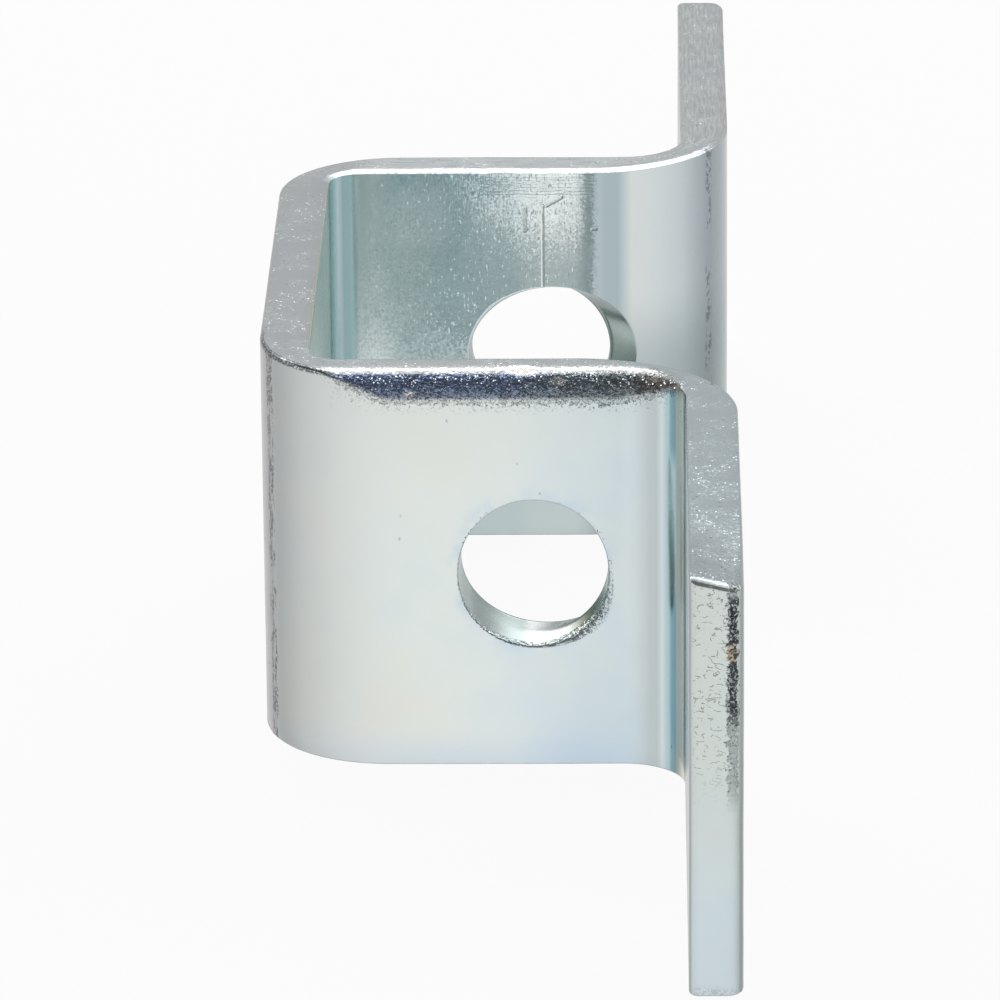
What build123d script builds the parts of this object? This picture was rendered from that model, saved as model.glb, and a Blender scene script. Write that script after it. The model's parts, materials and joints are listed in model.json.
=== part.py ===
"""Zinc-plated steel U bracket, folded from one length of flat bar.

The bar is folded four times into a web, two parallel legs and two flanges.  The
flanges turn outwards in one plane and are bolted to a flat surface.  One punched
hole goes through both legs, on one axis, and takes a pin or bolt.

Frame, in millimetres: Z runs across the width of the bar, and the bracket stands
on its lower cut edge at Z = 0.  X runs from the web to the mounting plane of the
flanges, and Y from flange end to flange end.  X = Y = 0 is the middle of the
footprint.
"""

import os
from math import cos, radians, sin

from build123d import *

# The flat bar
bar_width = 40.0
bar_thickness = 5.0

# The folds
inside_gap = 60.0  # clear distance between the legs
inside_depth = 41.0  # from the web's inner face to the mounting plane
flange_reach = 57.0  # from a leg's outer face to the end of its flange
web_bend_radius = 3.0  # hollow side of the bends beside the web
flange_bend_radius = 6.0  # hollow side of the bends beside the flanges
bend_flattening = 4.3  # how much the round side's radius exceeds hollow side plus bar

# Holes, all punched from the outer face of the bar
pin_hole_diameter = 14.3
pin_hole_setback = 19.5  # from the pin's axis to the mounting plane
bolt_hole_diameter = 14.3
bolt_hole_from_end = 25.0
punch_roll = 0.3  # rounding of the rim where the punch went in

# A pin hole's inner mouth, which the flange's bend pulled along while it formed
mouth_pull = 2.6
mouth_depth = 2.4  # how deep the pulled mouth starts, from the leg's inner face
mouth_inset = 0.1  # how far inside the round hole the rest of the mouth lies

# Edges, rounded by the shear and by tumbling before plating
edge_radius = 0.4  # along both cut sides of the bar
end_front_radius = 0.9  # upright edges of a flange's end, at its front face
end_back_radius = 1.6  # and at its back, in the mounting plane

# The shear's deep roll-over, along the upper outer edge of the near leg
roll_radius = 2.4
roll_turn = 75.0  # degrees that it runs round the flange's bend before it dies out
roll_lift = 0.8  # how far it has lifted out of the metal by then
roll_stations = 6

# Places that follow from the sizes above
half_gap = inside_gap / 2
half_width = half_gap + bar_thickness
half_span = half_width + flange_reach
mounting_x = (inside_depth + bar_thickness) / 2
flange_front_x = mounting_x - bar_thickness
web_x = -mounting_x
web_inner_x = web_x + bar_thickness
mid_height = bar_width / 2
web_round_radius = web_bend_radius + bar_thickness + bend_flattening
flange_round_radius = flange_bend_radius + bar_thickness + bend_flattening
leg_end_x = flange_front_x - flange_bend_radius  # where a leg's outer face starts to bend
pin_hole_x = mounting_x - pin_hole_setback
bolt_hole_y = half_span - bolt_hole_from_end

clear = 1.0  # how far a cutting shape stands out of the metal
same = 1e-4  # places closer than this are one place


def face_line(web_face, leg_face, flange_face, web_radius, flange_radius):
    """One face of the folded bar in plan, from flange end to flange end."""
    corners = [
        (flange_face, -half_span),
        (flange_face, -leg_face),
        (web_face, -leg_face),
        (web_face, leg_face),
        (flange_face, leg_face),
        (flange_face, half_span),
    ]
    return FilletPolyline(*corners, radius=[flange_radius, web_radius, web_radius, flange_radius])


def round_ends(profile, x, radius):
    """Rounds the profile's corners at x, one at each flange end."""
    corners = [v for v in profile.vertices() if abs(abs(v.Y) - half_span) < same]
    return fillet([v for v in corners if abs(v.X - x) < same], radius)


def folded_bar():
    """The bar after folding, with the rounded edges of both cut sides and both ends."""
    outer = face_line(web_x, half_width, flange_front_x, web_round_radius, flange_bend_radius)
    inner = face_line(web_inner_x, half_gap, mounting_x, web_bend_radius, flange_round_radius)
    ends = [Line(outer @ 0, inner @ 0), Line(outer @ 1, inner @ 1)]
    profile = make_face(outer.edges() + inner.edges() + ends)
    profile = round_ends(profile, flange_front_x, end_front_radius)
    profile = round_ends(profile, mounting_x, end_back_radius)
    bar = extrude(profile, bar_width, dir=(0, 0, 1))
    levels = bar.edges().group_by(Axis.Z)
    return fillet(levels[0] + levels[-1], edge_radius)


def roll_section(lift):
    """What the roll-over takes off an upper edge, where local X points into the metal.

    Lifted, it reaches less deep into the corner, which is how the roll-over dies out.
    """
    low = bar_width - roll_radius
    inset = roll_radius * (1 - cos(radians(45)))
    with BuildSketch() as section:
        with BuildLine():
            Polyline(
                (roll_radius, bar_width),
                (roll_radius, bar_width + clear),
                (-clear, bar_width + clear),
                (-clear, low),
                (0, low),
            )
            ThreePointArc((0, low), (inset, bar_width - inset), (roll_radius, bar_width))
        make_face()
    return Pos(-lift, lift) * section.sketch


def leg_roll():
    """The roll-over: straight along the near leg, then round the bend until it dies out."""
    start = Plane((web_x - clear, -half_width, 0), x_dir=(0, 1, 0), z_dir=(1, 0, 0))
    straight = extrude(start * roll_section(0), leg_end_x - web_x + clear)
    bend_centre = Vector(leg_end_x, -half_width - flange_bend_radius, 0)
    sections = []
    for station in range(roll_stations):
        share = station / (roll_stations - 1)
        turn = radians(roll_turn * share)
        into_metal = Vector(sin(turn), cos(turn), 0)
        place = bend_centre + into_metal * flange_bend_radius
        plane = Plane(place, x_dir=into_metal, z_dir=(cos(turn), -sin(turn), 0))
        sections.append(plane * roll_section(roll_lift * share**2))
    return straight + loft(sections)


def pin_hole():
    """The near leg's pin hole: a round hole, pulled towards the flange at its inner mouth."""
    radius = pin_hole_diameter / 2
    to_flange = (1, 0, 0)
    outside = Vector(pin_hole_x, -half_width - clear, mid_height)
    bore = Plane(outside, to_flange, (0, 1, 0)) * extrude(Circle(radius), bar_thickness + 2 * clear)
    mouth_start = Plane(Vector(pin_hole_x, -half_gap - mouth_depth, mid_height), to_flange, (0, 1, 0))
    mouth_length = mouth_depth + clear
    pull = mouth_pull * mouth_length / mouth_depth
    inner_radius = radius - mouth_inset
    root = Circle(inner_radius - mouth_inset)
    rim = Pos(pull / 2, 0, mouth_length) * Ellipse(inner_radius + pull / 2, inner_radius)
    return bore + mouth_start * loft([root, rim])


def bolt_hole():
    """The near flange's bolt hole, in the middle of the bar's width."""
    front = Plane((flange_front_x - clear, -bolt_hole_y, mid_height), z_dir=(1, 0, 0))
    return front * extrude(Circle(bolt_hole_diameter / 2), bar_thickness + 2 * clear)


def punched_rims(bar):
    """The rims of all holes on the bar's outer face, where the punch went in."""
    rims = []
    for rim in bar.edges().filter_by(GeomType.CIRCLE):
        centre = rim.arc_center
        at_leg_face = abs(abs(centre.Y) - half_width) < same and abs(centre.X - pin_hole_x) < same
        at_flange_face = abs(centre.X - flange_front_x) < same and abs(abs(centre.Y) - bolt_hole_y) < same
        if abs(centre.Z - mid_height) < same and (at_leg_face or at_flange_face):
            rims.append(rim)
    return rims


def bracket():
    """The whole bracket, whose halves differ only by the near leg's roll-over."""
    bar = folded_bar() - leg_roll()
    for hole in (pin_hole(), bolt_hole()):
        bar = bar - hole - mirror(hole, about=Plane.XZ)
    return fillet(punched_rims(bar), punch_roll)


os.makedirs("parts", exist_ok=True)
export_step(bracket(), "parts/bracket.step")
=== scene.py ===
"""Zinc-plated U bracket: the plated skin of the folded bar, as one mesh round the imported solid.

The mesh is laid out as the bar was made.  Rows of points follow the bar from flange
end to flange end, and columns go once round its section.  Each hole has its own rings
of points from the flat into the punched rim, down the bore and out at the inner mouth.
Lengths are in millimetres until the mesh is written, which is in metres.
"""

import json
import math
from functools import partial, reduce

import bmesh
import bpy
import numpy as np
from mathutils import Matrix, Vector, noise


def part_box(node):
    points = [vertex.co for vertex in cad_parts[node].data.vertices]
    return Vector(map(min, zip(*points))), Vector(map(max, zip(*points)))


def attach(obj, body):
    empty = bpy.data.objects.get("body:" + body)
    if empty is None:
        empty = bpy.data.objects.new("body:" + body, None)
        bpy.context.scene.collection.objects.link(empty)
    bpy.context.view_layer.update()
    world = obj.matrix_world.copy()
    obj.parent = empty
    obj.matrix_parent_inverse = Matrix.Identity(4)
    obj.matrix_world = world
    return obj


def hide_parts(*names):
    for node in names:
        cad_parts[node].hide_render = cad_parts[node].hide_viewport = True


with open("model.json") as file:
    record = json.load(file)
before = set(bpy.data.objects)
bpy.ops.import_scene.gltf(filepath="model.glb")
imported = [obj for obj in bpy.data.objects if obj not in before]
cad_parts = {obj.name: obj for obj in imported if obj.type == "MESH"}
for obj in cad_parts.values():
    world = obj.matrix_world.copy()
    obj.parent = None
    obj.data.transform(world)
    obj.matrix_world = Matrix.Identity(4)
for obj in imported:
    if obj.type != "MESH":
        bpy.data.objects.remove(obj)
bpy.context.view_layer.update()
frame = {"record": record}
scene = bpy.context.scene

MM = 0.001
low, high = (np.array(corner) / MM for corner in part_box("bracket"))
mounts = {mount["name"]: mount for mount in frame["record"]["mounts"]}

# The bar and its folds
WEB_X = low[0]
MOUNTING_X = high[0]
HALF_SPAN = high[1]
BAR_WIDTH = high[2]
MID_HEIGHT = BAR_WIDTH / 2
BAR_THICKNESS = 5.0
HALF_WIDTH = 35.0
HALF_GAP = HALF_WIDTH - BAR_THICKNESS
FLANGE_X = MOUNTING_X - BAR_THICKNESS
WEB_INNER_X = WEB_X + BAR_THICKNESS
HOLLOW_FLANGE_BEND = 6.0
ROUND_FLANGE_BEND = 15.3
HOLLOW_WEB_BEND = 3.0
ROUND_WEB_BEND = 12.3
END_FRONT_CORNER = 0.9
END_BACK_CORNER = 1.6
EDGE_ROUND = 0.3
EDGE_HOLD = 0.06  # a level this close under the upper rounding keeps the flats flat up to it

# The far leg's upper inner edge came out sharper, from this Y on and fully so past the next
SHARP_EDGE_SHARE = 0.88
SHARP_EDGE_FROM, SHARP_EDGE_OVER = 22.0, 6.0

# The shear's roll-over, along the near leg's upper outer edge
ROLL_RADIUS = 2.4
ROLL_TURN = math.radians(75)
ROLL_LIFT = 0.8

# The punched holes
PIN_X = mounts["pin_bore"]["pos_m"][0] / MM
PIN_RADIUS = mounts["pin_bore"]["dims"]["r_mm"]
BOLT_Y = mounts["flange_bolts"]["dims"]["spacing_x_mm"] / 2
BOLT_RADIUS = mounts["flange_bolts"]["dims"]["hole_r_mm"]
PUNCH_ROLL = 0.3
MOUTH_PULL = 2.6
MOUTH_DEPTH = 2.4
PIN_MOUTH_OPENING = 0.22
BOLT_MOUTH_OPENING = 0.12

# The near pin hole tore: its rim is rolled deeper low on its flange side, its low side
# starts wider, and its mouth stays inside the round
TORN_ROLL, TORN_EXTRA_ROLL = 0.22, 0.65
TORN_TOWARD = math.radians(222)
TORN_NARROWNESS = 7
NEAR_FLARE = 0.45
NEAR_MOUTH_OPENING = -0.12

# Chips in the roll-over, where pieces knocked together in the plating barrel: centre,
# half lengths, depth
CHIPS = (
    ((2.6, -33.4, 39.9), (1.8, 0.8, 0.8), 0.16),
    ((5.9, -34.4, 39.2), (1.0, 0.6, 0.6), 0.12),
    ((-8.3, -34.9, 38.0), (0.7, 0.5, 0.4), 0.12),
)

# The upper cut face's fall beside its inner edge and beside the near end
INNER_SINK, INNER_SINK_WIDTH = 0.32, 1.3
END_SINK, END_SINK_WIDTH = 0.28, 1.2

# The near end's upper corner: how far its back sags and its front is set back, and over
# how much of the bar each grows
NEAR_END_SAG, NEAR_END_SAG_LENGTH = 0.95, 20.0
NEAR_END_SET_BACK, NEAR_END_SET_BACK_LENGTH = 0.55, 5.0

# Unevenness pressed, sheared or tumbled into the skin: depth, size of one ripple, seed
LONG_WAVES = (0.018, 14.0, 3.1)
SHORT_WAVES = (0.007, 3.2, 7.7)
PEEL = ((0.03, 0.8, 11.0), (0.03, 1.9, 5.0))
RAGGED_EDGE = (0.02, 0.9, 21.0)
END_GRAIN = (0.02, 0.8, 4.0)
TORN_RIM = (0.02, 0.7, 41.0)
END_CRACK_DEPTH, END_CRACK_SIZE, END_CRACK_SEED = 0.05, 2.4, 31.0

# How finely the skin is divided: steps along each run of the bar, from a flange's end
# to the middle of the web, then round and across its section
NEAR_STEPS = (76, 46, 78, 46, 34)
FAR_STEPS = (76, 46, 60, 46, 34)
END_ROWS, END_CROWD = 10, 3.0
SQUARE_ROWS = (7, 35)
LEVEL_CHANGE, LOWER_LEVELS, UPPER_LEVELS = 35, 30, 13
EDGE_STEPS = 4
CORNER_STEPS = 4
ACROSS = (0.0, 0.05, 0.11, 0.17, 0.24, 0.31, 0.39, 0.48, 0.58, 0.68, 0.79, 0.9, 1.0)

# Rings round a hole: how much flat is left open for them before and after its axis, and
# above and below; then where they lie on the flat, the wall, the mouth and the inner face
PIN_WINDOW = (11.6, 9.0)
BOLT_WINDOW = (9.2, 9.2)
WINDOW_REACH = 9.0
OUTER_RINGS = (0.16, 0.32, 0.47, 0.61, 0.73, 0.83, 0.91, 0.96)
RIM_RINGS = 6
WALL_RINGS = (0.25, 0.5, 0.75, 1.0)
MOUTH_RINGS = (0.2, 0.4, 0.6, 0.8, 0.94)
INNER_RINGS = (0.05, 0.13, 0.25, 0.4, 0.56, 0.72, 0.87)


# -------- the bar in plan


def straight(start, end, out):
    """A straight run of one face of the bar in plan.  out points out of the metal."""
    start, end, out = (np.array(v, float) for v in (start, end, out))
    length = np.linalg.norm(end - start)

    def at(s):
        return start + np.outer(s / length, end - start), np.tile(out, (len(s), 1))

    return length, at


def bend(centre, radius, turn_from, turn_to, side):
    """A bend of one face.  side is 1 on the round side of the bar and -1 on the hollow."""
    turn_from, turn_to = math.radians(turn_from), math.radians(turn_to)
    length = radius * abs(turn_to - turn_from)

    def at(s):
        turn = turn_from + (turn_to - turn_from) * s / length
        ray = np.stack([np.cos(turn), np.sin(turn)], 1)
        return np.array(centre) + radius * ray, side * ray

    return length, at


leg_end_x = FLANGE_X - HOLLOW_FLANGE_BEND
inner_leg_end_x = MOUNTING_X - ROUND_FLANGE_BEND
outer_web_bend = (WEB_X + ROUND_WEB_BEND, ROUND_WEB_BEND - HALF_WIDTH)
inner_web_bend = (WEB_INNER_X + HOLLOW_WEB_BEND, HOLLOW_WEB_BEND - HALF_GAP)
flange_hollow = (leg_end_x, -HALF_WIDTH - HOLLOW_FLANGE_BEND)
flange_round = (inner_leg_end_x, -HALF_GAP - ROUND_FLANGE_BEND)

OUTER = [
    straight((FLANGE_X, END_FRONT_CORNER - HALF_SPAN), (FLANGE_X, flange_hollow[1]), (-1, 0)),
    bend(flange_hollow, HOLLOW_FLANGE_BEND, 0, 90, -1),
    straight((leg_end_x, -HALF_WIDTH), (outer_web_bend[0], -HALF_WIDTH), (0, -1)),
    bend(outer_web_bend, ROUND_WEB_BEND, -90, -180, 1),
    straight((WEB_X, outer_web_bend[1]), (WEB_X, 0), (-1, 0)),
]
INNER = [
    straight((MOUNTING_X, END_BACK_CORNER - HALF_SPAN), (MOUNTING_X, flange_round[1]), (1, 0)),
    bend(flange_round, ROUND_FLANGE_BEND, 0, 90, 1),
    straight((inner_leg_end_x, -HALF_GAP), (inner_web_bend[0], -HALF_GAP), (0, 1)),
    bend(inner_web_bend, HOLLOW_WEB_BEND, -90, -180, -1),
    straight((WEB_INNER_X, inner_web_bend[1]), (WEB_INNER_X, 0), (1, 0)),
]


def face_at(runs, s, far=False):
    """Plan points and outward directions at distances s along a face, on either half."""
    s = np.atleast_1d(np.asarray(s, float))
    points, outs = np.zeros((len(s), 2)), np.zeros((len(s), 2))
    begin = 0.0
    for number, (length, at) in enumerate(runs):
        here = s >= begin - 1e-9
        if number + 1 < len(runs):
            here &= s < begin + length - 1e-9
        if here.any():
            points[here], outs[here] = at(s[here] - begin)
        begin += length
    if far:
        points[:, 1] *= -1
        outs[:, 1] *= -1
    return points, outs


def stations(steps):
    """Where the rows cross the outer and the inner face of one half of the bar."""
    outer, inner = [0.0], [0.0]
    for number, (count, out_run, in_run) in enumerate(zip(steps, OUTER, INNER)):
        share = np.arange(1, count + 1) / count
        along_outer, along_inner = share * out_run[0], share * in_run[0]
        if number == 0:
            # rows crowd at the end, face each other squarely round the bolt hole, and lean
            # before the bend
            along_outer = np.interp(
                np.arange(1, count + 1), [0, END_ROWS, count], [0, END_CROWD, out_run[0]],
            )
            corner = END_BACK_CORNER - END_FRONT_CORNER
            first, last = SQUARE_ROWS
            along_inner = np.interp(
                along_outer, [0, first, last, out_run[0]],
                [0, first - corner, last - corner, in_run[0]],
            )
        outer.extend(sum(r[0] for r in OUTER[:number]) + along_outer)
        inner.extend(sum(r[0] for r in INNER[:number]) + along_inner)
    return np.array(outer), np.array(inner)


def end_corner_row(far):
    """The flange's end in plan, from its front face round both upright corners."""
    turns = np.linspace(0, math.pi / 2, CORNER_STEPS + 1)
    front = (FLANGE_X + END_FRONT_CORNER, END_FRONT_CORNER - HALF_SPAN)
    back = (MOUNTING_X - END_BACK_CORNER, END_BACK_CORNER - HALF_SPAN)
    rays_front = np.stack([-np.cos(turns), -np.sin(turns)], 1)
    rays_back = np.stack([np.sin(turns), -np.cos(turns)], 1)
    flat = np.linspace(front[0], back[0], CORNER_STEPS + 1)[1:-1]
    points = np.concatenate([
        np.array(front) + END_FRONT_CORNER * rays_front,
        np.stack([flat, np.full(len(flat), -HALF_SPAN)], 1),
        np.array(back) + END_BACK_CORNER * rays_back,
    ])
    outs = np.concatenate([rays_front, np.tile((0.0, -1.0), (len(flat), 1)), rays_back])
    if far:
        points[:, 1] *= -1
        outs[:, 1] *= -1
    return points, outs


# -------- the skin


class Skin:
    """The mesh as it grows: places, where each lies on the bar, and faces."""

    def __init__(self):
        self.places, self.bar, self.marks, self.faces = [], [], [], []

    def point(self, place, along, depth, bore=0.0, lip=0.0):
        self.places.append(tuple(place))
        self.bar.append((along, depth))
        self.marks.append((bore, lip))
        return len(self.places) - 1

    def face(self, *corners):
        kept = [c for n, c in enumerate(corners) if c != corners[n - 1]]
        if len(kept) > 2:
            self.faces.append(kept)


skin = Skin()
near_outer, near_inner = stations(NEAR_STEPS)
far_outer, far_inner = stations(FAR_STEPS)
far_from = len(near_outer)

rows_outer = np.concatenate([near_outer, far_outer[-2::-1]])
rows_inner = np.concatenate([near_inner, far_inner[-2::-1]])
is_far = np.arange(len(rows_outer)) >= far_from
row_count = len(rows_outer)
half_length = near_outer[-1]
along_bar = np.where(is_far, 2 * half_length - rows_outer, rows_outer)


def face_points(runs, rows):
    near = face_at(runs, rows[~is_far])
    far = face_at(runs, rows[is_far], far=True)
    return np.concatenate([near[0], far[0]]), np.concatenate([near[1], far[1]])


outer_points, outer_outs = face_points(OUTER, rows_outer)
inner_points, inner_outs = face_points(INNER, rows_inner)
near_end_points, near_end_outs = end_corner_row(far=False)
far_end_points, far_end_outs = end_corner_row(far=True)
across_steps = len(ACROSS) - 1

# once round the bar in plan: outer face, far end, inner face, near end
loop_points = np.concatenate([
    outer_points, far_end_points[1:-1], inner_points[::-1], near_end_points[-2:0:-1],
])
loop_outs = np.concatenate([
    outer_outs, far_end_outs[1:-1], inner_outs[::-1], near_end_outs[-2:0:-1],
])
end_depth = np.interp(np.arange(1, across_steps), [0, across_steps], [0, BAR_THICKNESS])
loop_along = np.concatenate([
    along_bar, np.full(across_steps - 1, 2 * half_length),
    along_bar[::-1], np.zeros(across_steps - 1),
])
loop_depth = np.concatenate([
    np.zeros(row_count), end_depth, np.full(row_count, BAR_THICKNESS), end_depth[::-1],
])
loop_count = len(loop_points)

# inset and height of each level, from the lower cut face up to the upper one
turns = np.linspace(0, math.pi / 2, EDGE_STEPS + 1)
body_heights = [
    *np.linspace(EDGE_ROUND, LEVEL_CHANGE, LOWER_LEVELS),
    *np.linspace(LEVEL_CHANGE, BAR_WIDTH - EDGE_ROUND - EDGE_HOLD, UPPER_LEVELS)[1:],
    BAR_WIDTH - EDGE_ROUND,
]
roundings = [(EDGE_ROUND * (1 - math.sin(t)), EDGE_ROUND * (1 - math.cos(t))) for t in turns]
levels = [
    *roundings,
    *((0.0, height) for height in body_heights[1:-1]),
    *((inset, BAR_WIDTH - below) for below, inset in roundings),
]
level_heights = np.array([height for inset, height in levels])

# the far leg's upper inner edge is sharper than the others
on_far_inner_face = (loop_depth == BAR_THICKNESS) & (loop_points[:, 1] > 0)
past_start = np.clip((loop_points[:, 1] - SHARP_EDGE_FROM) / SHARP_EDGE_OVER, 0, 1)
sharp = SHARP_EDGE_SHARE * np.where(on_far_inner_face, past_start, 0)
upper_edge_from = BAR_WIDTH - EDGE_ROUND - EDGE_HOLD - 0.01
grid = np.zeros((loop_count, len(levels)), int)
for number, (inset, height) in enumerate(levels):
    tighter = 1 - sharp * (height > upper_edge_from)
    plan = loop_points - loop_outs * inset * tighter[:, None]
    rise = BAR_WIDTH - (BAR_WIDTH - height) * tighter
    for step in range(loop_count):
        place = (*plan[step], rise[step])
        grid[step, number] = skin.point(place, loop_along[step], loop_depth[step])
outer_grid = grid[:row_count]
inner_grid = grid[row_count + across_steps - 1:2 * row_count + across_steps - 1][::-1]
far_end_grid = grid[row_count - 1:row_count + across_steps]
near_end_steps = [
    0, *range(loop_count - 1, loop_count - across_steps, -1), 2 * row_count + across_steps - 2,
]
near_end_grid = grid[near_end_steps]


# -------- the holes


def window(centre, before, after, far):
    """Rows and levels of the square left open round a hole."""
    mine = np.flatnonzero(is_far == far)
    first = mine[np.argmin(abs(rows_outer[mine] - (centre - before)))]
    last = mine[np.argmin(abs(rows_outer[mine] - (centre + after)))]
    first, last = min(first, last), max(first, last)
    bottom = int(np.argmin(abs(level_heights - (MID_HEIGHT - WINDOW_REACH))))
    top = int(np.argmin(abs(level_heights - (MID_HEIGHT + WINDOW_REACH))))
    return first, last, bottom, top


def border(first, last, bottom, top):
    """Once round a window, as (row, level)."""
    return (
        [(row, bottom) for row in range(first, last)]
        + [(last, level) for level in range(bottom, top)]
        + [(row, top) for row in range(last, first, -1)]
        + [(first, level) for level in range(top, bottom, -1)]
    )


def punched_hole(centre, around, far, radius, lip, flare, pull, opening):
    """One hole: rings from its window to the rim, down the bore and out at the mouth.

    lip is how far the rim rolled in, flare how much wider the bore's low side starts,
    pull how far the mouth is drawn along, and opening how much wider the mouth is.
    """
    span = window(centre, *around, far)
    inner_stations, outer_stations = (far_inner, far_outer) if far else (near_inner, near_outer)
    ring = border(*span)
    rows = np.array([row for row, level in ring])
    heights = level_heights[[level for row, level in ring]]
    outer_offset = rows_outer[rows] - centre
    angle = np.arctan2(heights - MID_HEIGHT, outer_offset)
    cos, sin = np.cos(angle), np.sin(angle)

    middle, out = face_at(OUTER, [centre], far)
    ahead, _ = face_at(OUTER, [centre + 1], far)
    middle, out, ahead = middle[0], out[0], ahead[0] - middle[0]
    rim_lip = lip(cos, sin)
    wider = flare * np.clip(-sin, 0, 1)
    rings = []

    def keep(places, depth, bore=0.0, lip_share=0.0, inner_distance=None):
        along = centre + (places - middle_3) @ ahead_3
        if inner_distance is not None:
            along = np.interp(inner_distance, inner_stations, outer_stations)
        along = 2 * half_length - along if far else along
        rings.append([
            skin.point(place, step, deep, bore, lip_share)
            for place, step, deep in zip(places, along, np.broadcast_to(depth, len(places)))
        ])

    middle_3 = np.array([*middle, MID_HEIGHT])
    ahead_3 = np.array([*ahead, 0.0])
    out_3 = np.array([*out, 0.0])
    up = np.array([0, 0, 1.0])

    def round_ring(wide, deep):
        """A ring round the axis, wide from it and deep below the outer face."""
        sunk = np.outer(np.broadcast_to(deep, cos.shape), out_3)
        return middle_3 + np.outer(wide * cos, ahead_3) + np.outer(wide * sin, up) - sunk

    rings.append([outer_grid[row, level] for row, level in ring])
    edge_radius = radius + wider + rim_lip
    for share in OUTER_RINGS:
        offset = outer_offset * (1 - share) + edge_radius * cos * share
        height = heights * (1 - share) + (MID_HEIGHT + edge_radius * sin) * share
        plan, _ = face_at(OUTER, centre + offset, far)
        keep(np.column_stack([plan, height]), 0.0, 0.0, max(0.0, share * 12.5 - 11.5) * 0.6)
    for turn in np.linspace(0, math.pi / 2, RIM_RINGS):
        wide = radius + wider + rim_lip * (1 - math.sin(turn))
        deep = rim_lip * (1 - math.cos(turn))
        keep(round_ring(wide, deep), deep, math.sin(turn) * 0.5, 1.0)
    start = BAR_THICKNESS - MOUTH_DEPTH
    for share in WALL_RINGS:
        deep = rim_lip + (start - rim_lip) * share
        keep(round_ring(radius + wider * (1 - share), deep), deep, 1.0)
    mouth_offset = -pull / 2 + (radius + opening + pull / 2) * cos
    mouth_height = (radius + opening) * sin
    inner_zero = INNER[0][0] + INNER[1][0] if pull else 0.0

    def on_inner(offset):
        """Distances along the inner face of points straight through from the outer face."""
        if not pull:
            return centre + offset - (END_BACK_CORNER - END_FRONT_CORNER)
        x = middle[0] - offset
        past = np.clip((x - inner_leg_end_x) / ROUND_FLANGE_BEND, 0, 1)
        turned = ROUND_FLANGE_BEND * np.arcsin(past)
        return inner_zero + np.where(x < inner_leg_end_x, inner_leg_end_x - x, -turned)

    mouth_plan, _ = face_at(INNER, on_inner(mouth_offset), far)
    mouth = np.column_stack([mouth_plan, MID_HEIGHT + mouth_height])
    throat = round_ring(radius, start)
    for share in MOUTH_RINGS:
        places = throat * (1 - share) + mouth * share
        keep(places, start + MOUTH_DEPTH * share, 1.0)
    mouth_along = on_inner(mouth_offset)
    keep(mouth, BAR_THICKNESS, 0.6, inner_distance=mouth_along)
    window_offset = rows_inner[rows]
    for share in INNER_RINGS:
        s = mouth_along * (1 - share) + window_offset * share
        height = (MID_HEIGHT + mouth_height) * (1 - share) + heights * share
        plan, _ = face_at(INNER, s, far)
        keep(np.column_stack([plan, height]), BAR_THICKNESS, inner_distance=s)
    rings.append([inner_grid[row, level] for row, level in ring])

    for outer_ring, inner_ring in zip(rings, rings[1:]):
        for step in range(len(ring)):
            a, b = step - 1, step
            skin.face(outer_ring[a], inner_ring[a], inner_ring[b], outer_ring[b])
    return span


def plain_lip(cos, sin):
    return np.full(len(cos), PUNCH_ROLL)


def torn_lip(cos, sin):
    """The near pin hole's rim: rolled deeper where the punch tore."""
    toward = cos * math.cos(TORN_TOWARD) + sin * math.sin(TORN_TOWARD)
    return TORN_ROLL + TORN_EXTRA_ROLL * np.clip(toward, 0, 1) ** TORN_NARROWNESS


# distances along the bar from the middle of the web
WEB_BEND_AT = OUTER[4][0]
LEG_AT = WEB_BEND_AT + OUTER[3][0]
FLANGE_BEND_AT = LEG_AT + OUTER[2][0]
FLANGE_AT = FLANGE_BEND_AT + OUTER[1][0]
WEB_SIDE = LEG_AT - ROUND_WEB_BEND * math.radians(66)
FLANGE_SIDE = FLANGE_AT - OUTER[1][0] * 0.33

pin_along = OUTER[0][0] + OUTER[1][0] + (leg_end_x - PIN_X)
bolt_along = HALF_SPAN - END_FRONT_CORNER - BOLT_Y
windows = []
for far, lip, flare, opening in (
    (False, torn_lip, NEAR_FLARE, NEAR_MOUTH_OPENING),
    (True, plain_lip, 0.0, PIN_MOUTH_OPENING),
):
    windows.append(punched_hole(
        pin_along, PIN_WINDOW, far, PIN_RADIUS, lip, flare, MOUTH_PULL, opening,
    ))
    windows.append(punched_hole(
        bolt_along, BOLT_WINDOW, far, BOLT_RADIUS, plain_lip, 0.0, 0.0, BOLT_MOUTH_OPENING,
    ))


# -------- faces of the bar

opened = np.zeros((row_count - 1, len(levels) - 1), bool)
for first, last, bottom, top in windows:
    opened[first:last, bottom:top] = True


def quilt(grid, flip=False, left_open=None):
    """Faces between neighbouring rows and columns of a grid of points."""
    for row, step in np.ndindex(grid.shape[0] - 1, grid.shape[1] - 1):
        if left_open is None or not left_open[row, step]:
            (a, b), (d, c) = grid[row:row + 2, step:step + 2]
            skin.face(*((d, c, b, a) if flip else (a, b, c, d)))


quilt(outer_grid, left_open=opened)
quilt(inner_grid.T, left_open=opened.T)
quilt(near_end_grid, True)
quilt(far_end_grid)

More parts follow.
